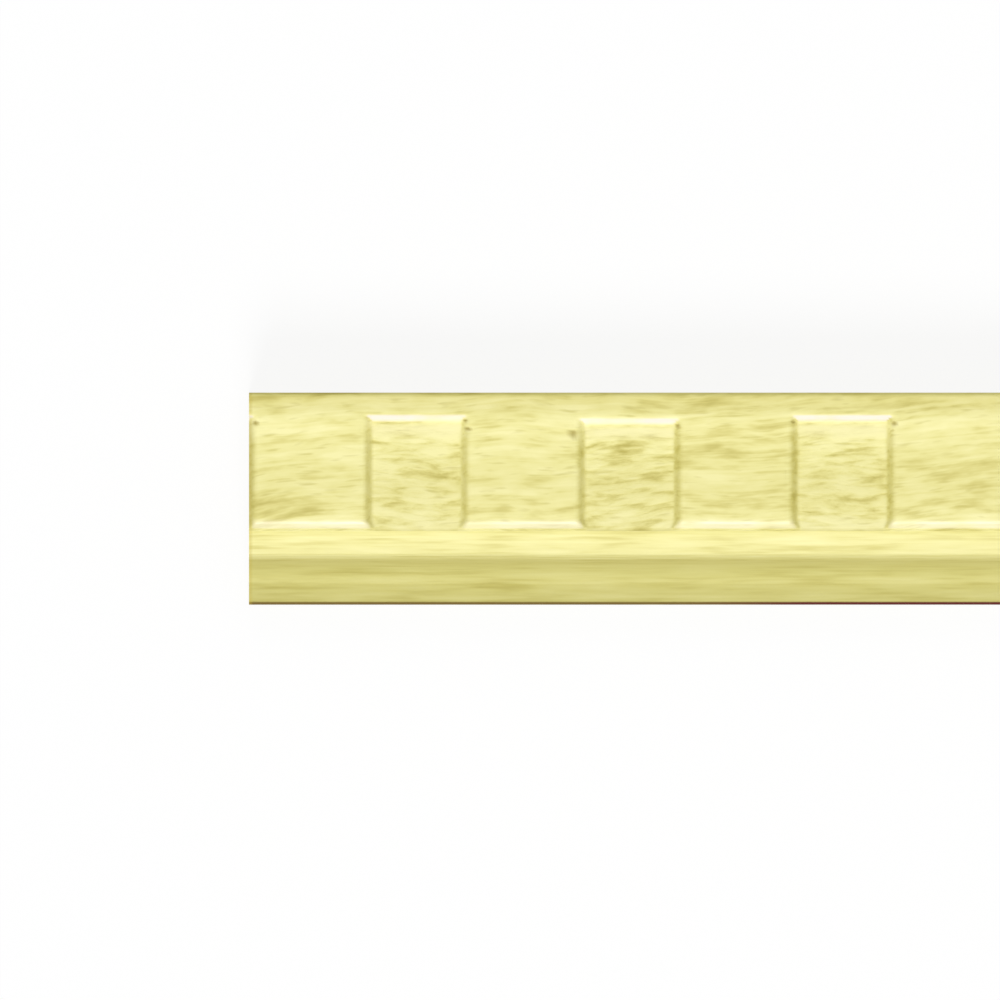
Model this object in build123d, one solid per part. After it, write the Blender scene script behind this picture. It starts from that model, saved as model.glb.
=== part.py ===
from build123d import *
import math
import os

# Dentil moulding, one piece of wood stock lying on its flat back. Millimetres and degrees.
# X runs along the stock, +Y points to its top edge and +Z out of its moulded face.
# A drop is measured down from the top edge and a depth back from the tooth faces.

# Stock
length = 1219.2
face_width = 25.4
thickness = 12.4
top_arris_radius = 0.6

# Pockets sunk into the face at an even pitch, which leave the teeth standing between them
pocket_pitch = 25.5
first_pocket = 20.05
pocket_floor_width = 10.8
pocket_floor_drop = 3.7
pocket_depth = 0.8
pocket_draft = 40.0
top_mouth_radius = 0.6
side_mouth_radius = 1.0

# Round nose of the teeth, and the rim below it that is flush with the pocket floors
nose_height = 1.3
rim_height = 0.25
rim_step = 0.75

# Mouldings under the rim, down to the bottom edge
small_cove_height = 2.75
small_cove_depth = 1.2
main_cove_height = 3.5
main_cove_depth = 4.75
main_cove_radius = 6.5
listel_height = 1.2
toe_radius = 1.35

# How far a cutter runs out past the tooth faces
overcut = 1.0

# Places across the face, each stacked on the one below it
top_y = face_width / 2
bottom_y = -face_width / 2
listel_bottom_y = bottom_y + toe_radius
listel_top_y = listel_bottom_y + listel_height
main_cove_top_y = listel_top_y + main_cove_height
rim_bottom_y = main_cove_top_y + small_cove_height
tooth_foot_y = rim_bottom_y + rim_height

# Depths of the surfaces behind the tooth faces, each behind the one before it
ledge_depth = pocket_depth + rim_step
cove_arris_depth = ledge_depth + small_cove_depth
listel_depth = cove_arris_depth + main_cove_depth
toe_depth = listel_depth + toe_radius

# The flat of the tooth faces runs between the top arris and the round nose
face_top_y = top_y - top_arris_radius
face_bottom_y = tooth_foot_y + nose_height

# A mouth's round ends within this many radii of the wall's own edge, whatever the draft
mouth_reach = 1.5


def z_at(depth):
    """Height above the back of a point this deep behind the tooth faces."""
    return thickness - depth


def section():
    """The section through a tooth: up the back, over the top edge and down the face."""
    arris_start = (top_y, z_at(top_arris_radius))
    arris_end = (face_top_y, z_at(0))
    nose_start = (face_bottom_y, z_at(0))
    nose_end = (tooth_foot_y, z_at(pocket_depth))
    rim_end = (rim_bottom_y, z_at(pocket_depth))
    ledge = (rim_bottom_y, z_at(ledge_depth))
    cove_arris = (main_cove_top_y, z_at(cove_arris_depth))
    listel_top = (listel_top_y, z_at(listel_depth))
    listel_bottom = (listel_bottom_y, z_at(listel_depth))
    toe = (bottom_y, z_at(toe_depth))
    with BuildSketch(Plane.YZ) as sketch:
        with BuildLine():
            Polyline((bottom_y, 0), (top_y, 0), arris_start)
            RadiusArc(arris_start, arris_end, -top_arris_radius)
            Line(arris_end, nose_start)
            TangentArc(nose_start, nose_end, tangent=(-1, 0))
            Polyline(nose_end, rim_end, ledge)
            TangentArc(cove_arris, ledge, tangent=(1, 0))
            RadiusArc(cove_arris, listel_top, main_cove_radius)
            Line(listel_top, listel_bottom)
            RadiusArc(listel_bottom, toe, -toe_radius)
            Line(toe, (bottom_y, 0))
        make_face()
    return sketch.sketch


def trough_face(plane, outline, mouths, mouth_radius):
    """A closed outline on a plane, with its corners at the pocket's mouth rounded into the tooth faces."""
    with BuildSketch(plane) as sketch:
        with BuildLine():
            Polyline(*outline, close=True)
        make_face()
        fillet([sketch.vertices().sort_by_distance(mouth)[0] for mouth in mouths], mouth_radius)
    return sketch.sketch


def pocket_cutter():
    """One pocket, where a trough across the face meets a trough along it that has no lower wall."""
    floor_z = z_at(pocket_depth)
    face_z = z_at(0)
    clear_z = face_z + overcut
    wall_run = pocket_depth * math.tan(math.radians(pocket_draft))
    foot_x = pocket_floor_width / 2
    mouth_x = foot_x + wall_run
    clear_x = mouth_x + mouth_reach * side_mouth_radius
    foot_y = top_y - pocket_floor_drop
    mouth_y = foot_y + wall_run
    clear_y = mouth_y + mouth_reach * top_mouth_radius
    open_y = main_cove_top_y
    right = [(foot_x, floor_z), (mouth_x, face_z), (clear_x, face_z), (clear_x, clear_z)]
    left = [(-x, z) for x, z in reversed(right)]
    sides = [right[1], left[-2]]
    across = trough_face(Plane.XZ.offset(-clear_y), right + left, sides, side_mouth_radius)
    upper = [(foot_y, floor_z), (mouth_y, face_z), (clear_y, face_z), (clear_y, clear_z)]
    lower = [(open_y, clear_z), (open_y, floor_z)]
    along = trough_face(Plane.YZ, upper + lower, [upper[1]], top_mouth_radius)
    return extrude(across, amount=clear_y - open_y) & extrude(along, amount=clear_x, both=True)


def pocket_places():
    """The middle of each pocket along the stock, from the one that the left end cuts through."""
    first_x = -length / 2 + first_pocket - pocket_pitch
    count = math.ceil((length / 2 + pocket_floor_width / 2 - first_x) / pocket_pitch)
    return [first_x + index * pocket_pitch for index in range(count)]


def moulding():
    """The stock with every pocket that its length takes in, whole or cut by an end."""
    stock = extrude(section(), amount=length / 2, both=True)
    cutter = pocket_cutter()
    return stock - [Pos(x, 0, 0) * cutter for x in pocket_places()]


os.makedirs("parts", exist_ok=True)
export_step(moulding(), "parts/dentil_moulding.step")
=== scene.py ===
import math

import bpy
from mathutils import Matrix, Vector, noise


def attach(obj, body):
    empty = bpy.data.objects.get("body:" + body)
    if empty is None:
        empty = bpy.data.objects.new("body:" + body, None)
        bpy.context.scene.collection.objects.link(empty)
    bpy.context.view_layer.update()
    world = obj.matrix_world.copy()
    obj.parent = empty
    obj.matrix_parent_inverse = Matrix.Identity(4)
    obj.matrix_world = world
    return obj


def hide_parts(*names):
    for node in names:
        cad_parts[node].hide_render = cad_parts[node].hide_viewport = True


# Dentil moulding, a length of pale yellow wood lying on its flat back.
# X runs along the stock, +Y points to its top edge and +Z out of its moulded face.
# Shapes are worked out in millimetres and written to the meshes in metres.
MM = 0.001

# Stock
LENGTH = 1219.2
FACE_WIDTH = 25.4
THICKNESS = 12.4
TOP_ARRIS = 0.6

# Pockets between the teeth
POCKET_PITCH = 25.5
FIRST_POCKET = 20.05
POCKET_FLOOR_WIDTH = 10.8
POCKET_FLOOR_DROP = 3.7
POCKET_DEPTH = 0.8
POCKET_DRAFT = math.radians(40.0)
TOP_MOUTH = 0.6
SIDE_MOUTH = 1.0
FOOT_RADIUS = 0.8
CORNER_BLEND = 0.3

# Teeth and the mouldings under them
NOSE_HEIGHT = 1.3
RIM_HEIGHT = 0.25
RIM_STEP = 0.75
RIM_ARRIS = 0.07
SMALL_COVE_HEIGHT = 2.75
SMALL_COVE_DEPTH = 1.2
MAIN_COVE_HEIGHT = 3.5
MAIN_COVE_DEPTH = 4.75
MAIN_COVE_RADIUS = 6.5
COVE_ARRIS = 0.12
LISTEL_HEIGHT = 1.2
TOE_RADIUS = 1.35

# Places across the face and heights above the back
TOP_Y = FACE_WIDTH / 2
BOTTOM_Y = -FACE_WIDTH / 2
LISTEL_BOTTOM_Y = BOTTOM_Y + TOE_RADIUS
LISTEL_TOP_Y = LISTEL_BOTTOM_Y + LISTEL_HEIGHT
COVE_ARRIS_Y = LISTEL_TOP_Y + MAIN_COVE_HEIGHT
RIM_BOTTOM_Y = COVE_ARRIS_Y + SMALL_COVE_HEIGHT
TOOTH_FOOT_Y = RIM_BOTTOM_Y + RIM_HEIGHT
FACE_BOTTOM_Y = TOOTH_FOOT_Y + NOSE_HEIGHT
FACE_TOP_Y = TOP_Y - TOP_ARRIS
FLOOR_Z = THICKNESS - POCKET_DEPTH
LEDGE_Z = FLOOR_Z - RIM_STEP
COVE_ARRIS_Z = LEDGE_Z - SMALL_COVE_DEPTH
LISTEL_Z = COVE_ARRIS_Z - MAIN_COVE_DEPTH
TOE_Z = LISTEL_Z - TOE_RADIUS
POCKET_FOOT_Y = TOP_Y - POCKET_FLOOR_DROP

# The slanting wall of a pocket: its steepness, and places out from its foot
WALL_TILT = math.pi / 2 - POCKET_DRAFT
WALL_RUN = POCKET_DEPTH * math.tan(POCKET_DRAFT)
FOOT_START = -FOOT_RADIUS * math.tan(WALL_TILT / 2)
FOOT_END = -FOOT_START * math.cos(WALL_TILT)

# Torn spots at the top corners of three pockets in turn, which repeat along the stock.
# Each is the wall's side, how far out from its foot, the drop from the top edge and two half sizes.
CHIPS = [
    [(1, 0.75, 4.65, 0.5, 0.24), (1, 0.45, 3.7, 0.35, 0.2)],
    [(-1, 1.35, 4.8, 0.7, 0.4), (1, 0.4, 3.95, 0.35, 0.22)],
    [(1, 0.85, 3.95, 0.45, 0.35), (-1, 0.5, 3.75, 0.35, 0.2)],
]
CHIP_DEPTH = 0.16
CHIP_EDGE = (0.2, 1.2)
CHIP_STRAY = 0.5
CHIP_STRAY_STEP = 3.7
CHIP_STRAY_PLACE = 0.5

# How far the top of each pocket in turn lies above the even place, and where that fades out
TOP_LIFTS = [0.35, -0.05, 0.33]
LIFT_BELOW_Y = (5.0, 8.0)
LIFT_ABOVE_Y = (10.3, 11.3)
LIFT_BESIDE = (7.5, 12.0)

# How far a pocket's side walls turn in at its lower corners, and where that fades out
CORNER_INSET = 0.4
CORNER_HEIGHT = (0.0, 1.5)
INSET_INSIDE = (3.2, 5.0)
INSET_OUTSIDE = (6.6, 10.0)
INSET_FROM_END = (0.0, 2.0)

# Ripples on the pocket floors: their height, and their noise in waves for each millimetre
RIPPLE_HEIGHT = 0.03
RIPPLE_WAVES_ALONG = 0.22
RIPPLE_WAVES_ACROSS = 0.6
RIPPLE_PLACE = 7.3
RIPPLE_DIMENSION = 1.0
RIPPLE_LACUNARITY = 2.0
RIPPLE_OCTAVES = 3

# Rows of the section down to this far below the pocket floors are on the worked face
FACE_TOLERANCE = 0.01

# Mesh rows of the section between its corners, and the steps of its arcs
TOP_EDGE_ROW_Z = 6.0
BAND_ROW_Y = 11.1
UPPER_FLOOR_ROWS_Y = [8.35, 8.05, 7.7]
FLOOR_ROW_Y = 6.9
FLOOR_ROW_SPACING = 0.9
FLOOR_ROW_COUNT = 10
LOWEST_FLOOR_ROW_Y = -1.9
BOTTOM_EDGE_ROW_Z = 1.8
ARRIS_STEPS = 4
NOSE_STEPS = 5
SMALL_COVE_STEPS = 5
MAIN_COVE_STEPS = 8
TOE_STEPS = 4

# Mesh columns along the stock: from a pocket's middle, from a tooth's middle and over a wall
POCKET_COLUMNS = [1.8, 3.6]
TOOTH_COLUMNS = [5.1, 2.0]
FOOT_SHARES = (0.0, 0.35, 0.7, 1.0)
MOUTH_SHARES = (1.0, 0.8, 0.6, 0.35, 0.0)
PAST_MOUTH = 0.25
END_CLEARANCE = 0.05
SHARP_ANGLE = math.radians(32.0)

# Where each mark on the face begins and is full, by the share of a pocket's depth, the slope or the place.
# The nose and top-wall marks carry a painted highlight, and the side-wall marks a painted shade.
SLOPE_STEP = 0.05
ROUGH_SUNK = (0.8, 1.0)
NOSE_LOWERED = (0.0, 0.1)
NOSE_STANDING = (0.0, 0.3)
NOSE_SUNK = (0.0, 0.6)
NOSE_HIGHLIGHT = 0.3
WALL_SLOPE = (0.25, 0.95)
WALL_SHADE_SLOPE = (0.0, 0.75)
WALL_SHADE_TOP_Y = (6.2, 8.6)
WALL_SHADE_TOP_FADE = 0.65
WALL_SHADE_AT_FOOT = 0.45

# The same for the painted light and painted shade on a pocket's floor, by the distance from its foot, its rim
# or its middle
GLOW_START = (0.15, 0.8)
GLOW_END = (1.0, 2.2)
FLOOR_SHADE_DROP = (0.0, 9.0)
FLOOR_SHADE_LOW = 0.5
FLOOR_SHADE_ABOVE_RIM = (0.05, 0.6)
FLOOR_SHADE_RIM = 1.1
FLOOR_SHADE_CORNER_X = (3.0, 5.2)
FLOOR_SHADE_CORNER = 0.8

# Grain layers: noise waves for each millimetre along and across the stock, its detail and its weight
FACE_STREAK = ((0.25, 0.95), 2.0, 0.42)
FACE_LINE = ((0.05, 2.2), 3.0, 0.25)
FACE_BROAD = ((0.05, 0.3), 1.0, 0.34)
EDGE_STREAK = ((0.08, 0.6), 2.0, 0.42)
EDGE_FIBRE = ((0.16, 2.4), 2.0, 0.24)
EDGE_BASE = 0.18
UPRIGHT_LINE = ((0.03, 2.4), 4.0, 0.45)
UPRIGHT_LINE_ROUGHNESS = 0.6
UPRIGHT_FIBRE = ((0.25, 5.0), 2.0, 0.3)
UPRIGHT_BASE = 0.12
PORE_WAVES = (0.35, 1.8)
PORE_NOISE = (0.6, 0.78)
TORN_STREAK = ((0.3, 1.05), 4.0, 0.74)
TORN_ROUGHNESS = 0.56
TORN_DISTORTION = 0.2
TORN_BROAD = ((0.12, 0.3), 1.0, 0.4)
TORN_BASE = -0.01
PULLED_WAVES = (0.11, 0.7)
PULLED_WIDTH = 0.09
PULLED_DEPTH = 0.09

# The grain drifts from side to side by up to half this reach, and rises slowly along the stock
DRIFT_WAVES = (0.055, 0.05)
DRIFT_REACH = 4.0
GRAIN_RISE = 0.04

# Heights over which the mouldings' grain gives way to the tooth faces', and normals that turn upright
FACE_GRAIN_Z = (10.4, 11.4)
UPRIGHT_NORMAL = (0.85, 0.35)

# Screen colours of the wood, from dark streaks to pale ones
WOOD_TONES = [
    (0.30, (196, 184, 98)),
    (0.42, (226, 217, 136)),
    (0.50, (241, 234, 158)),
    (0.64, (251, 245, 178)),
]

# Painted light and shade across the width, from the bottom edge at 0 to the top edge at 1, as shares of red,
# green and blue
ACROSS_LIGHT_AND_SHADE = [
    # Toe and listel, darkened as painted shade
    (0.02, (0.65, 0.64, 0.5)),
    (0.05, (0.7, 0.69, 0.56)),
    (0.1, (0.76, 0.75, 0.62)),
    # Main cove, painted shade that is darkest under its arris
    (0.15, (0.7, 0.69, 0.56)),
    (0.205, (0.61, 0.59, 0.45)),
    # Small cove made paler as painted light, and painted shade in the rim's step
    (0.243, (1.0, 1.0, 1.06)),
    (0.325, (1.0, 1.0, 1.05)),
    (0.343, (0.94, 0.935, 0.92)),
    (0.354, (0.96, 0.955, 0.95)),
    # Teeth and pockets, with gentle bands of painted light and shade
    (0.366, (1.01, 1.01, 1.06)),
    (0.42, (1.02, 1.02, 1.05)),
    (0.55, (0.96, 0.955, 0.93)),
    (0.7, (1.0, 1.0, 1.0)),
    (0.85, (1.04, 1.04, 1.06)),
    # Top band and its arris, darkened as painted shade, with a yellower line at the very edge
    (0.89, (1.0, 1.0, 1.0)),
    (0.93, (0.93, 0.92, 0.88)),
    (0.98, (0.93, 0.91, 0.8)),
    (1.0, (1.0, 0.98, 0.74)),
]

# How strongly each mark tints the wood, and towards which screen colour. The floor, side-wall and edge tints
# are painted shade, painted light and painted highlight.
PORE_TINT = (0.5, (204, 193, 108))
FLOOR_SHADE_TINT = (0.24, (204, 194, 112))
FLOOR_GLOW_TINT = (0.6, (250, 243, 186))
WALL_SHADE_TINT = (0.42, (190, 178, 80))
PAINTED_HIGHLIGHT_TINT = (0.9, (248, 240, 234))
CHIP_TINT = (0.75, (150, 128, 24))
SAWN_ARRIS_TINT = (0.3, (196, 174, 56))
SAWN_ARRIS_FROM_END = (0.5, 0.2)

# The painted highlight and the coat's gloss are uneven over the stock
UNEVEN_WAVES = (0.22, 0.22)
UNEVEN_NOISE = (0.35, 0.6)
UNEVEN_SHARE = (0.6, 1.1)

# Painted shade line where the toe meets the bottom edge, by turns brown and dark red along the stock
TOE_SHADE_FRONT = (0.42, 0.26)
TOE_SHADE_ABOVE = (-0.3, 0.2)
TOE_SHADE_WAVES = (0.25, 1.5)
TOE_SHADE_RAGGED = 0.7
TOE_SHADE_REPEAT = 95.0
TOE_SHADE_RED_FROM = (52.0, 66.0)
TOE_SHADE_BROWN = (120, 98, 42)
TOE_SHADE_RED = (96, 30, 22)

# Growth rings on the sawn ends, round a heart that lies outside the stock
HEART_OFFSET = (0.0, 34.0, 26.0)
RING_HALF_WIDTH = 0.9
RING_UNEVEN_WAVES = 0.25
RING_UNEVEN = 3.0
END_PORE_WAVES = 6.0
END_SHARE = 0.5
END_NORMAL = 0.95
END_TONES = [
    (0.2, (206, 191, 118)),
    (0.45, (225, 212, 137)),
    (0.75, (238, 228, 156)),
]

# Finish of the wood, with the bump's depths on planed and rough wood in metres
BUMP_STRENGTH = 0.6
BUMP_DEPTHS = (0.00005, 0.0002)
ROUGHNESS_GRAIN = (0.3, 0.7)
ROUGHNESS = (0.62, 0.5)
SPECULAR = 0.2
COAT = 0.65
COAT_ROUGHNESS = 0.28

# Floor, world and lamps, in metres: a lamp has a direction, a share of the face's brightness and a spread
WHITE = (1.0, 1.0, 1.0, 1.0)
FLOOR_HALF = 20.0
FLOOR_GREY = (0.6, 0.6, 0.6, 1.0)
FLOOR_PALE = (0.98, 0.98, 0.98, 1.0)
FLOOR_WHITE_SHARE = 0.88
WORLD_LIGHT = 0.42
TOE_SIDE_LAMP = ((-0.06, -0.64, 0.77), 0.5, 26.0)
TOP_SIDE_LAMP = ((0.0, 0.72, 0.7), 0.08, 30.0)
LAMP_DISTANCE = 2.0

# Camera: the width that it takes in, its place from the left end and across, and its height in metres
VIEW_WIDTH = 119.75
VIEW_FROM_END = 30.06
VIEW_Y = -0.16
CAMERA_HEIGHT = 1.0


def smooth_step(span, value):
    """From 0 at the start of a span to 1 at its end, without corners."""
    low, high = span
    t = min(max((value - low) / (high - low), 0.0), 1.0)
    return t * t * (3.0 - 2.0 * t)


def lower_of(a, b, reach):
    """The smaller of two heights, with the crease between them rounded off within this reach."""
    near = max(reach - abs(a - b), 0.0) / max(reach, 1e-6)
    return min(a, b) - near * near * reach / 4


def arc(centre, radius, start, end, steps):
    """Points on an arc after its start, with angles from +Y towards +Z."""
    angles = [start + (end - start) * (i + 1) / steps for i in range(steps)]
    return [(centre[0] + radius * math.cos(a), centre[1] + radius * math.sin(a)) for a in angles]


def hollow(first, last, radius, steps):
    """Points on a hollow arc of this radius after first, with its centre in front of the wood."""
    run_y = last[0] - first[0]
    run_z = last[1] - first[1]
    chord = math.hypot(run_y, run_z)
    rise = math.sqrt(radius**2 - (chord / 2) ** 2)
    middle_y = (first[0] + last[0]) / 2
    middle_z = (first[1] + last[1]) / 2
    centre = (middle_y + rise * run_z / chord, middle_z - rise * run_y / chord)
    start = math.atan2(first[1] - centre[1], first[0] - centre[0])
    end = math.atan2(last[1] - centre[1], last[0] - centre[0])
    return arc(centre, radius, start, end, steps)


def round_radius(height, depth):
    """Radius of an arc that leaves level and drops by this depth within this height."""
    return (height**2 + depth**2) / (2 * depth)


def tooth_rows():
    """The upper part of the section, from the back over the top edge and a tooth's face to its nose."""
    rows = [(TOP_Y, 0.0), (TOP_Y, TOP_EDGE_ROW_Z), (TOP_Y, THICKNESS - TOP_ARRIS)]
    rows += arc((FACE_TOP_Y, THICKNESS - TOP_ARRIS), TOP_ARRIS, 0.0, math.pi / 2, ARRIS_STEPS)
    wall = [POCKET_FOOT_Y + out for out in reversed(wall_places(TOP_MOUTH))]
    floor = [FLOOR_ROW_Y - i * FLOOR_ROW_SPACING for i in range(FLOOR_ROW_COUNT)]
    face = [BAND_ROW_Y] + wall + UPPER_FLOOR_ROWS_Y + floor + [LOWEST_FLOOR_ROW_Y, FACE_BOTTOM_Y]
    rows += [(y, THICKNESS) for y in face]
    radius = round_radius(NOSE_HEIGHT, POCKET_DEPTH)
    sweep = math.asin(NOSE_HEIGHT / radius)
    centre = (FACE_BOTTOM_Y, THICKNESS - radius)
    return rows + arc(centre, radius, math.pi / 2, math.pi / 2 + sweep, NOSE_STEPS)


def edge_rows():
    """The lower part of the section: the rim, the coves, the listel, the toe and the bottom edge."""
    rows = [(RIM_BOTTOM_Y + RIM_ARRIS, FLOOR_Z), (RIM_BOTTOM_Y, FLOOR_Z - RIM_ARRIS), (RIM_BOTTOM_Y, LEDGE_Z)]
    radius = round_radius(SMALL_COVE_HEIGHT, SMALL_COVE_DEPTH)
    sweep = math.asin(SMALL_COVE_HEIGHT / radius)
    centre = (COVE_ARRIS_Y, COVE_ARRIS_Z + radius)
    rows += arc(centre, radius, sweep - math.pi / 2, -math.pi / 2, SMALL_COVE_STEPS)[:-1]
    rows += [(COVE_ARRIS_Y + COVE_ARRIS, COVE_ARRIS_Z), (COVE_ARRIS_Y, COVE_ARRIS_Z - COVE_ARRIS)]
    rows += hollow(rows[-1], (LISTEL_TOP_Y, LISTEL_Z), MAIN_COVE_RADIUS, MAIN_COVE_STEPS)
    rows += [(LISTEL_TOP_Y - COVE_ARRIS, LISTEL_Z), (LISTEL_BOTTOM_Y, LISTEL_Z)]
    rows += arc((LISTEL_BOTTOM_Y, LISTEL_Z - TOE_RADIUS), TOE_RADIUS, math.pi / 2, math.pi, TOE_STEPS)
    return rows + [(BOTTOM_Y, BOTTOM_EDGE_ROW_Z), (BOTTOM_Y, 0.0), (0.0, 0.0)]


def mouth_range(radius):
    """Where the round of a pocket's mouth starts and ends, out from the foot of the wall."""
    tangent = radius * math.tan(WALL_TILT / 2)
    return WALL_RUN - tangent * math.cos(WALL_TILT), WALL_RUN + tangent


def wall_places(radius):
    """Mesh places out from the foot of a wall, from its hollow foot over the round to the tooth face."""
    mouth_end = mouth_range(radius)[1]
    foot = [FOOT_START + (FOOT_END - FOOT_START) * share for share in FOOT_SHARES]
    mouth = [mouth_end - radius * math.sin(WALL_TILT * share) for share in MOUTH_SHARES]
    return foot + mouth + [mouth_end + PAST_MOUTH]


def wall_height(out, radius):
    """Height over the pocket's floor, this far out from the foot of a wall with this round at its mouth."""
    mouth_start, mouth_end = mouth_range(radius)
    if out <= FOOT_START:
        return 0.0
    if out <= FOOT_END:
        return FOOT_RADIUS - math.sqrt(FOOT_RADIUS**2 - (out - FOOT_START) ** 2)
    if out <= mouth_start:
        return out * math.tan(WALL_TILT)
    if out <= mouth_end:
        return POCKET_DEPTH - radius + math.sqrt(radius**2 - (mouth_end - out) ** 2)
    return POCKET_DEPTH


def pocket_middles():
    """The middle of each pocket along the stock, the first one cut through by the left end."""
    first = -LENGTH / 2 + FIRST_POCKET - POCKET_PITCH
    count = math.ceil((LENGTH / 2 + POCKET_FLOOR_WIDTH / 2 - first) / POCKET_PITCH)
    return [first + i * POCKET_PITCH for i in range(count)]


def stations(middles):
    """Places along the stock for the mesh, each with the pocket that it is nearest to."""
    half = POCKET_FLOOR_WIDTH / 2
    tooth = POCKET_PITCH / 2
    outward = POCKET_COLUMNS + [half + out for out in wall_places(SIDE_MOUTH)]
    outward += [tooth - out for out in TOOTH_COLUMNS]
    offsets = [-x for x in reversed(outward)] + [0.0] + outward
    places = [(middle + x, i) for i, middle in enumerate(middles) for x in offsets]
    end = LENGTH / 2
    kept = [(x, i) for x, i in places if abs(x) < end - END_CLEARANCE]
    return [(-end, 0)] + kept + [(end, len(middles) - 1)]


def face_height(x, y):
    """Height of the teeth and pockets, with x from the pocket's middle, its corners hollowed softly."""
    across = wall_height(abs(x) - POCKET_FLOOR_WIDTH / 2, SIDE_MOUTH)
    along = wall_height(y - POCKET_FOOT_Y, TOP_MOUTH)
    higher = -lower_of(-across, -along, min(CORNER_BLEND, across + along))
    return FLOOR_Z + min(higher, POCKET_DEPTH)


def face_point(x, y, z):
    """Height of the worked face where the section's own height is z, x from the pocket's middle."""
    pocket = face_height(x, y)
    return lower_of(z, pocket, min(CORNER_BLEND, 2 * THICKNESS - z - pocket))


def chip_strength(index, x, y):
    """How deep into a torn spot a point is, from 0 to 1, x from the pocket's middle."""
    strength = 0.0
    stray = 0.0
    if index >= len(CHIPS):
        stray = CHIP_STRAY * noise.noise(Vector((index * CHIP_STRAY_STEP, 0.0, CHIP_STRAY_PLACE)))
    for side, out, drop, half_x, half_y in CHIPS[(index - 1) % len(CHIPS)]:
        chip_x = side * (POCKET_FLOOR_WIDTH / 2 + out)
        far = math.hypot((x - chip_x) / half_x, (y - TOP_Y + drop + stray) / half_y)
        strength = max(strength, 1.0 - smooth_step(CHIP_EDGE, far))
    return strength


def lift(index, x, y):
    """How far a point near a pocket's top is moved up the face, x from the pocket's middle."""
    near_wall = smooth_step(LIFT_BELOW_Y, y) - smooth_step(LIFT_ABOVE_Y, y)
    in_pocket = 1.0 - smooth_step(LIFT_BESIDE, abs(x))
    return TOP_LIFTS[(index - 1) % len(TOP_LIFTS)] * near_wall * in_pocket


def inset(x, y):
    """How far a point near a pocket's lower corner is moved along the stock, x from the pocket's middle."""
    low = 1.0 - smooth_step(CORNER_HEIGHT, y - RIM_BOTTOM_Y)
    at_wall = smooth_step(INSET_INSIDE, abs(x)) - smooth_step(INSET_OUTSIDE, abs(x))
    return -math.copysign(CORNER_INSET * low * at_wall, x)


def surface_marks(x, y, z):
    """Marks at a place on the face, from 0 up, where the section's own height is z.

    They are the rough floor, the painted highlight and the coat's gloss on the top walls and noses, the
    painted light under a pocket's top wall, the painted shade on the side walls and on the lower floor and
    rim. x is from the pocket's middle.
    """
    step = SLOPE_STEP
    standing = (z - FLOOR_Z) / POCKET_DEPTH
    sunk = (THICKNESS - face_height(x, y)) / POCKET_DEPTH
    slope_x = abs(face_height(x + step, y) - face_height(x - step, y)) / (2 * step)
    slope_y = (face_height(x, y + step) - face_height(x, y - step)) / (2 * step)
    rough = smooth_step(ROUGH_SUNK, sunk)
    # The top walls and noses get the coat's gloss and a painted highlight
    wall = smooth_step(WALL_SLOPE, slope_y) if slope_y > slope_x else 0.0
    nose = smooth_step(NOSE_LOWERED, 1.0 - standing) * smooth_step(NOSE_STANDING, standing)
    nose *= 1.0 - smooth_step(NOSE_SUNK, sunk)
    drop = POCKET_FOOT_Y - y
    # Painted light on the floor just under each pocket's top wall
    pale = rough * smooth_step(GLOW_START, drop) * (1.0 - smooth_step(GLOW_END, drop))
    # Painted shade on the pockets' side walls, fainter towards their tops
    wall_shade = smooth_step(WALL_SHADE_SLOPE, slope_x) if slope_x > slope_y else 0.0
    wall_shade *= 1.0 - WALL_SHADE_TOP_FADE * smooth_step(WALL_SHADE_TOP_Y, y)
    wall_shade *= WALL_SHADE_AT_FOOT + (1.0 - WALL_SHADE_AT_FOOT) * standing
    # Painted shade: darker towards the bottom of each pocket floor and along its rim, most at the lower
    # corners
    rim = 1.0 - smooth_step(FLOOR_SHADE_ABOVE_RIM, y - RIM_BOTTOM_Y)
    rim *= FLOOR_SHADE_RIM + FLOOR_SHADE_CORNER * smooth_step(FLOOR_SHADE_CORNER_X, abs(x))
    return {
        "rough": rough,
        "painted_highlight": max(wall, NOSE_HIGHLIGHT * nose),
        "gloss": max(wall, nose),
        "pale": pale,
        "wall_shade": wall_shade,
        "floor_shade": rough * (FLOOR_SHADE_LOW * smooth_step(FLOOR_SHADE_DROP, drop) + rim),
    }


def worked_point(index, x, local, y, z):
    """A point on the teeth or pockets and its marks, where the section has y and z.

    x is along the stock, and local is x from the pocket's middle.
    """
    marks = surface_marks(local, y, z)
    marks["chip"] = chip_strength(index, local, y)
    place = Vector((x * RIPPLE_WAVES_ALONG, y * RIPPLE_WAVES_ACROSS, RIPPLE_PLACE))
    ripple = noise.fractal(place, RIPPLE_DIMENSION, RIPPLE_LACUNARITY, RIPPLE_OCTAVES)
    height = face_point(local, y, z) + RIPPLE_HEIGHT * ripple * marks["rough"] - CHIP_DEPTH * marks["chip"]
    from_end = smooth_step(INSET_FROM_END, LENGTH / 2 - abs(x))
    return (x + inset(local, y) * from_end, y + lift(index, local, y), height), marks


def grid_faces(columns, around):
    """Quads between the section loops, and one face on each end."""
    faces = []
    for column in range(columns - 1):
        near = column * around
        far = near + around
        for row in range(around):
            after = (row + 1) % around
            faces.append((near + row, near + after, far + after, far + row))
    faces.append(tuple(range(around - 1, -1, -1)))
    last = (columns - 1) * around
    faces.append(tuple(range(last, last + around)))
    return faces


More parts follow.
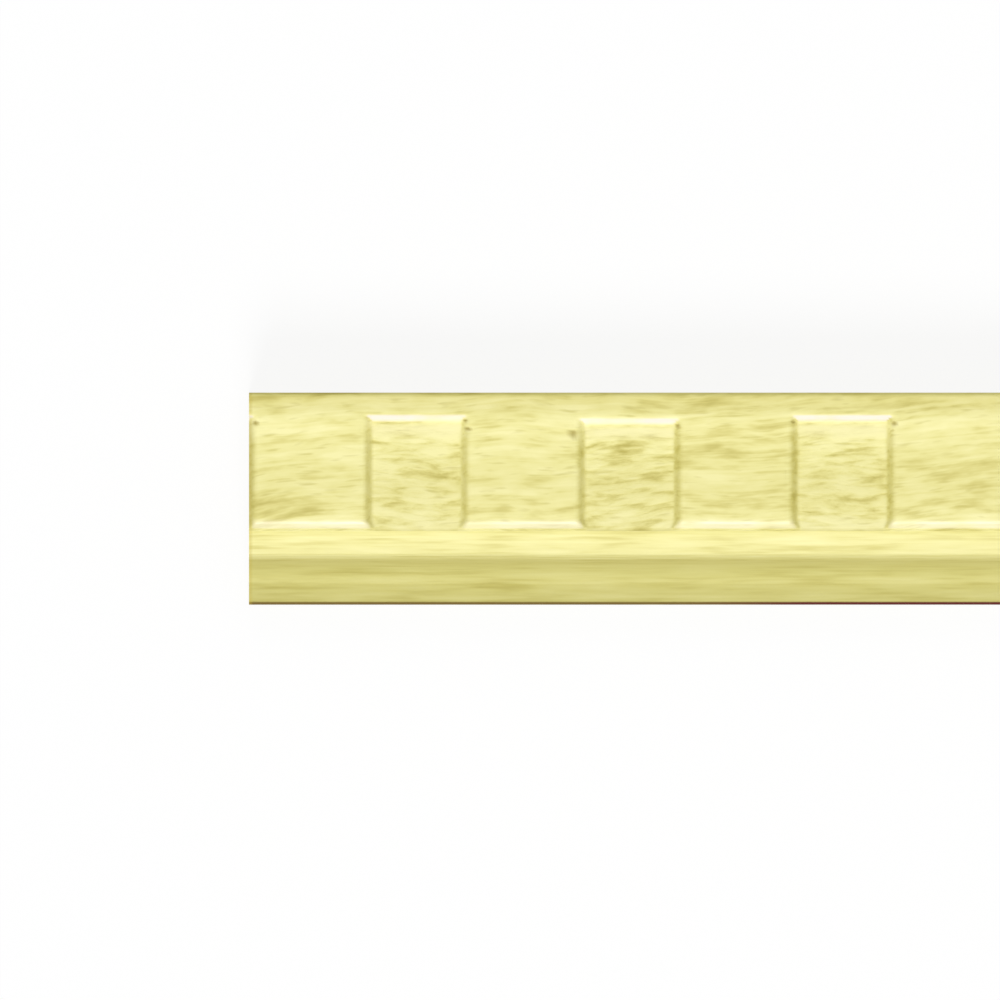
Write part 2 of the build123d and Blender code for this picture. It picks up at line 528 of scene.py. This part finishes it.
def moulding_mesh():
    """The stock as a grid of section loops along its length, with the pockets sunk in and the ends closed."""
    rows = tooth_rows() + edge_rows()
    middles = pocket_middles()
    columns = stations(middles)
    points = []
    marks = {name: [] for name in ("rough", "painted_highlight", "gloss", "pale", "wall_shade", "floor_shade", "chip")}
    for x, index in columns:
        for y, z in rows:
            point = (x, y, z)
            found = {}
            if z > FLOOR_Z - FACE_TOLERANCE and RIM_BOTTOM_Y < y < FACE_TOP_Y:
                point, found = worked_point(index, x, x - middles[index], y, z)
            points.append([value * MM for value in point])
            for name, values in marks.items():
                values.append(found.get(name, 0.0))
    mesh = bpy.data.meshes.new("dentil_moulding_wood")
    mesh.from_pydata(points, [], grid_faces(len(columns), len(rows)))
    for name, values in marks.items():
        mesh.attributes.new(name, "FLOAT", "POINT").data.foreach_set("value", values)
    mesh.shade_smooth()
    mesh.set_sharp_from_angle(angle=SHARP_ANGLE)
    mesh.update()
    return mesh


class Nodes:
    """Short calls for building a material's or world's node tree."""

    def __init__(self, tree):
        self.tree = tree
        tree.nodes.clear()

    def add(self, kind, inputs=None, **settings):
        made = self.tree.nodes.new(kind)
        for key, value in settings.items():
            setattr(made, key, value)
        for key, value in (inputs or {}).items():
            self.put(made.inputs[key], value)
        return made

    def put(self, socket, value):
        if isinstance(value, bpy.types.NodeSocket):
            self.tree.links.new(value, socket)
        else:
            socket.default_value = value

    def math(self, operation, a, b=0.0, clamp=False):
        return self.add("ShaderNodeMath", {0: a, 1: b}, operation=operation, use_clamp=clamp).outputs[0]

    def total(self, first, *others):
        for other in others:
            first = self.math("ADD", first, other)
        return first

    def parts(self, vector):
        return self.add("ShaderNodeSeparateXYZ", {"Vector": vector}).outputs

    def scaled(self, vector, scale):
        return self.add("ShaderNodeMapping", {"Vector": vector, "Scale": scale}).outputs["Vector"]

    def remap(self, value, source, target=(0.0, 1.0)):
        ends = {"From Min": source[0], "From Max": source[1], "To Min": target[0], "To Max": target[1]}
        return self.add("ShaderNodeMapRange", {"Value": value, **ends}).outputs["Result"]

    def noise(self, vector, waves, detail, roughness=0.5, distortion=0.0):
        """Noise with this many waves for each millimetre along the stock and across it."""
        along, across = waves
        place = self.scaled(vector, (along, across, across))
        settings = {"Detail": detail, "Roughness": roughness, "Distortion": distortion}
        return self.add("ShaderNodeTexNoise", {"Vector": place, "Scale": 1.0, **settings}).outputs["Fac"]

    def layer(self, vector, settings, roughness=0.5, distortion=0.0):
        """Noise by its waves and detail, times its weight."""
        waves, detail, weight = settings
        return self.math("MULTIPLY", self.noise(vector, waves, detail, roughness, distortion), weight)

    def swing(self, vector, waves, detail, reach):
        """Noise about zero, within half this reach to each side."""
        return self.math("MULTIPLY", self.math("SUBTRACT", self.noise(vector, waves, detail), 0.5), reach)

    def ramp(self, factor, stops):
        made = self.add("ShaderNodeValToRGB", {"Fac": factor})
        elements = made.color_ramp.elements
        while len(elements) < len(stops):
            elements.new(1.0)
        for element, (place, colour) in zip(elements, stops):
            element.position = place
            element.color = (*colour, 1.0)
        return made.outputs["Color"]

    def mix(self, factor, a, b, blend="MIX"):
        made = self.add("ShaderNodeMix", data_type="RGBA", blend_type=blend)
        for socket, value in ((made.inputs[0], factor), (made.inputs[6], a), (made.inputs[7], b)):
            self.put(socket, value)
        return made.outputs[2]

    def mix_values(self, factor, a, b):
        return self.add("ShaderNodeMix", {0: factor, 2: a, 3: b}, data_type="FLOAT").outputs[0]

    def tint(self, wood, amount, settings):
        """The wood mixed towards a screen colour, by an amount times the tint's strength."""
        strength, colour = settings
        return self.mix(self.math("MULTIPLY", amount, strength), wood, (*linear(colour), 1.0))

    def attribute(self, name):
        return self.add("ShaderNodeAttribute", attribute_name=name).outputs["Fac"]


def linear(colour):
    """A screen colour of 0 to 255 as linear light."""
    shares = [c / 255 for c in colour]
    return tuple(s / 12.92 if s <= 0.04045 else ((s + 0.055) / 1.055) ** 2.4 for s in shares)


def linear_stops(tones):
    return [(place, linear(colour)) for place, colour in tones]


def grain_run(n, here):
    """Places in the wood, moved across the stock so that straight streaks there follow the grain's drift."""
    x, y, z = n.parts(here)
    drift = n.swing(here, DRIFT_WAVES, detail=1.0, reach=DRIFT_REACH)
    run_y = n.total(y, drift, n.math("MULTIPLY", x, -GRAIN_RISE))
    return n.add("ShaderNodeCombineXYZ", {"X": x, "Y": run_y, "Z": z}).outputs["Vector"]


def face_grain(n, run):
    """Soft streaks and long fine lines of the planed tooth faces and top band."""
    return n.total(n.layer(run, FACE_STREAK), n.layer(run, FACE_LINE), n.layer(run, FACE_BROAD))


def edge_grain(n, here, upright):
    """Longer and fainter streaks of the mouldings under the teeth, with clearer fibres on upright faces."""
    soft = n.total(n.layer(here, EDGE_STREAK), n.layer(here, EDGE_FIBRE), EDGE_BASE)
    line = n.layer(here, UPRIGHT_LINE, UPRIGHT_LINE_ROUGHNESS)
    clear = n.total(line, n.layer(here, UPRIGHT_FIBRE), UPRIGHT_BASE)
    return n.mix_values(upright, soft, clear)


def torn_grain(n, run):
    """Short wavy torn streaks of the pocket floors, with thin lines where fibres were pulled out."""
    streak = n.layer(run, TORN_STREAK, TORN_ROUGHNESS, TORN_DISTORTION)
    whole = n.total(streak, n.layer(run, TORN_BROAD), TORN_BASE)
    off_line = n.math("ABSOLUTE", n.swing(run, PULLED_WAVES, detail=1.0, reach=1.0))
    pulled = n.remap(off_line, (0.0, PULLED_WIDTH), (PULLED_DEPTH, 0.0))
    return n.math("SUBTRACT", whole, pulled)


def wood_grain(n, here, facing, rough):
    """The grain's tone from dark to pale, and the sparse dark pores that run with it on the tooth faces."""
    run = grain_run(n, here)
    high = n.remap(n.parts(here)["Z"], FACE_GRAIN_Z)
    upright = n.remap(n.math("ABSOLUTE", facing["Z"]), UPRIGHT_NORMAL)
    planed = n.mix_values(high, edge_grain(n, here, upright), face_grain(n, run))
    grain = n.mix_values(rough, planed, torn_grain(n, run))
    pores = n.remap(n.noise(run, PORE_WAVES, detail=1.0), PORE_NOISE)
    return grain, n.math("MULTIPLY", pores, high)


def toe_shade_line(n, here, wood):
    """The wood with a thin painted shade line where the toe meets the bottom edge."""
    x, y, z = n.parts(here)
    ragged_z = n.math("ADD", z, n.swing(here, TOE_SHADE_WAVES, detail=2.0, reach=TOE_SHADE_RAGGED))
    front = n.remap(y, [BOTTOM_Y + out for out in TOE_SHADE_FRONT])
    above = n.remap(ragged_z, [TOE_Z + out for out in TOE_SHADE_ABOVE])
    along = n.math("PINGPONG", n.math("ADD", x, LENGTH / 2), TOE_SHADE_REPEAT)
    red = n.remap(along, TOE_SHADE_RED_FROM)
    shade_line = n.mix(red, (*linear(TOE_SHADE_BROWN), 1.0), (*linear(TOE_SHADE_RED), 1.0))
    return n.mix(n.math("MULTIPLY", front, above), wood, shade_line)


def end_grain(n, here):
    """Colour of the sawn ends, with growth rings and pores."""
    inputs = {"Vector": here, "Location": HEART_OFFSET, "Scale": (0.0, 1.0, 1.0)}
    spread = n.add("ShaderNodeMapping", inputs).outputs["Vector"]
    radius = n.add("ShaderNodeVectorMath", {0: spread}, operation="LENGTH").outputs["Value"]
    uneven = n.layer(spread, ((RING_UNEVEN_WAVES, RING_UNEVEN_WAVES), 2.0, RING_UNEVEN))
    ring = n.math("PINGPONG", n.math("ADD", radius, uneven), RING_HALF_WIDTH)
    pore = n.layer(spread, ((END_PORE_WAVES, END_PORE_WAVES), 2.0, END_SHARE))
    return n.ramp(n.total(n.math("MULTIPLY", ring, END_SHARE), pore), linear_stops(END_TONES))


def wood_colour(n, here, facing, grain, pores, uneven):
    """Colour of the wood: its grain, the painted light and shade across the width, the marks with their
    painted shade and highlight, the painted shade line at the toe and the ends.
    """
    place = n.parts(here)
    across = n.remap(place["Y"], (BOTTOM_Y, TOP_Y))
    wood = n.ramp(grain, linear_stops(WOOD_TONES))
    wood = n.tint(wood, pores, PORE_TINT)
    # Painted light and shade across the width, darkest over the main cove and the listel
    wood = n.mix(1.0, wood, n.ramp(across, ACROSS_LIGHT_AND_SHADE), "MULTIPLY")
    # Painted shade on the lower pocket floors and along their rims
    wood = n.tint(wood, n.attribute("floor_shade"), FLOOR_SHADE_TINT)
    # Painted light on the floor under each pocket's top wall
    wood = n.tint(wood, n.attribute("pale"), FLOOR_GLOW_TINT)
    # Painted shade on the pockets' side walls
    wood = n.tint(wood, n.attribute("wall_shade"), WALL_SHADE_TINT)
    # Painted highlight on the pockets' top walls and the tooth noses
    painted_highlight = n.math("MULTIPLY", n.attribute("painted_highlight"), uneven, clamp=True)
    wood = n.tint(wood, painted_highlight, PAINTED_HIGHLIGHT_TINT)
    wood = n.tint(wood, n.attribute("chip"), CHIP_TINT)
    # Painted shade line where the toe meets the bottom edge
    wood = toe_shade_line(n, here, wood)
    from_middle = n.math("ABSOLUTE", place["X"])
    sawn_arris = n.remap(from_middle, [LENGTH / 2 - out for out in SAWN_ARRIS_FROM_END])
    wood = n.tint(wood, sawn_arris, SAWN_ARRIS_TINT)
    on_end = n.math("GREATER_THAN", n.math("ABSOLUTE", facing["X"]), END_NORMAL)
    return n.mix(on_end, wood, end_grain(n, here))


def wood_material():
    """Pale yellow wood with streaks along the stock, rougher grain in the pockets and rings on the ends."""
    material = bpy.data.materials.new("wood")
    material.use_nodes = True
    n = Nodes(material.node_tree)
    where = n.add("ShaderNodeTexCoord").outputs
    here = n.scaled(where["Object"], (1 / MM, 1 / MM, 1 / MM))
    facing = n.parts(where["Normal"])
    rough = n.attribute("rough")
    grain, pores = wood_grain(n, here, facing, rough)
    uneven = n.remap(n.noise(here, UNEVEN_WAVES, detail=2.0), UNEVEN_NOISE, UNEVEN_SHARE)
    coat = n.math("MULTIPLY", n.math("MULTIPLY", n.attribute("gloss"), uneven), COAT)
    depth = n.remap(rough, (0.0, 1.0), BUMP_DEPTHS)
    bump = n.add("ShaderNodeBump", {"Strength": BUMP_STRENGTH, "Distance": depth, "Height": grain})
    shader = n.add("ShaderNodeBsdfPrincipled", {
        "Base Color": wood_colour(n, here, facing, grain, pores, uneven),
        "Roughness": n.remap(grain, ROUGHNESS_GRAIN, ROUGHNESS),
        "Specular IOR Level": SPECULAR,
        "Coat Weight": coat,
        "Coat Roughness": COAT_ROUGHNESS,
        "Normal": bump.outputs["Normal"],
    })
    n.add("ShaderNodeOutputMaterial", {"Surface": shader.outputs["BSDF"]})
    return material


def floor_material():
    """A pale matt floor that the camera sees as white, with the object's shadow kept."""
    material = bpy.data.materials.new("floor")
    material.use_nodes = True
    n = Nodes(material.node_tree)
    camera_ray = n.add("ShaderNodeLightPath").outputs["Is Camera Ray"]
    matt = n.add("ShaderNodeBsdfDiffuse", {"Color": FLOOR_GREY})
    pale = n.add("ShaderNodeBsdfDiffuse", {"Color": FLOOR_PALE})
    white = n.add("ShaderNodeEmission", {"Color": WHITE, "Strength": 1.0})
    seen = n.add("ShaderNodeMixShader", {0: FLOOR_WHITE_SHARE, 1: pale.outputs[0], 2: white.outputs[0]})
    both = n.add("ShaderNodeMixShader", {0: camera_ray, 1: matt.outputs[0], 2: seen.outputs[0]})
    n.add("ShaderNodeOutputMaterial", {"Surface": both.outputs[0]})
    return material


def white_world():
    """Even soft light from all round, with a white background for the camera."""
    world = bpy.data.worlds.new("studio")
    world.use_nodes = True
    n = Nodes(world.node_tree)
    camera_ray = n.add("ShaderNodeLightPath").outputs["Is Camera Ray"]
    soft = n.add("ShaderNodeBackground", {"Color": WHITE, "Strength": WORLD_LIGHT})
    white = n.add("ShaderNodeBackground", {"Color": WHITE, "Strength": 1.0})
    both = n.add("ShaderNodeMixShader", {0: camera_ray, 1: soft.outputs[0], 2: white.outputs[0]})
    n.add("ShaderNodeOutputWorld", {"Surface": both.outputs[0]})
    bpy.context.scene.world = world


def sun(name, direction, share, spread):
    """A soft lamp far away on that side, giving this share of the face's brightness."""
    towards = Vector(direction).normalized()
    data = bpy.data.lights.new(name, "SUN")
    data.energy = share * math.pi / towards.z
    data.angle = math.radians(spread)
    lamp = bpy.data.objects.new(name, data)
    lamp.location = towards * LAMP_DISTANCE
    lamp.rotation_mode = "QUATERNION"
    lamp.rotation_quaternion = towards.to_track_quat("Z", "Y")
    bpy.context.collection.objects.link(lamp)


def lights():
    """The main lamp stands on the toe side, so the noses and the pockets' top walls catch it."""
    sun("toe_side_lamp", *TOE_SIDE_LAMP)
    sun("top_side_lamp", *TOP_SIDE_LAMP)


def floor():
    mesh = bpy.data.meshes.new("floor")
    signs = [(-1, -1), (1, -1), (1, 1), (-1, 1)]
    corners = [(x * FLOOR_HALF, y * FLOOR_HALF, 0.0) for x, y in signs]
    mesh.from_pydata(corners, [], [(0, 1, 2, 3)])
    mesh.materials.append(floor_material())
    made = bpy.data.objects.new("floor", mesh)
    bpy.context.collection.objects.link(made)


def camera():
    """Looks straight down on the left end, with the stock running out of the picture on the right."""
    data = bpy.data.cameras.new("camera")
    data.type = "ORTHO"
    data.ortho_scale = VIEW_WIDTH * MM
    made = bpy.data.objects.new("camera", data)
    made.location = ((-LENGTH / 2 + VIEW_FROM_END) * MM, VIEW_Y * MM, CAMERA_HEIGHT)
    bpy.context.collection.objects.link(made)
    bpy.context.scene.camera = made


def moulding():
    mesh = moulding_mesh()
    mesh.materials.append(wood_material())
    made = bpy.data.objects.new("dentil_moulding_wood", mesh)
    bpy.context.collection.objects.link(made)
    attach(made, "root")
    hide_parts("dentil_moulding")


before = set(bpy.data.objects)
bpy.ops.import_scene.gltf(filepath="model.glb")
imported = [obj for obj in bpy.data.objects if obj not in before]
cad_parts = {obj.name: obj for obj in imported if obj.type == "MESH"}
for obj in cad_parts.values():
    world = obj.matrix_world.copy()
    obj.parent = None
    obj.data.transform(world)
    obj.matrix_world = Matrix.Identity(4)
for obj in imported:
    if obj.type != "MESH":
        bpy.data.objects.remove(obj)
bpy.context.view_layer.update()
bpy.context.scene.view_settings.view_transform = "Standard"
moulding()
floor()
white_world()
lights()
camera()
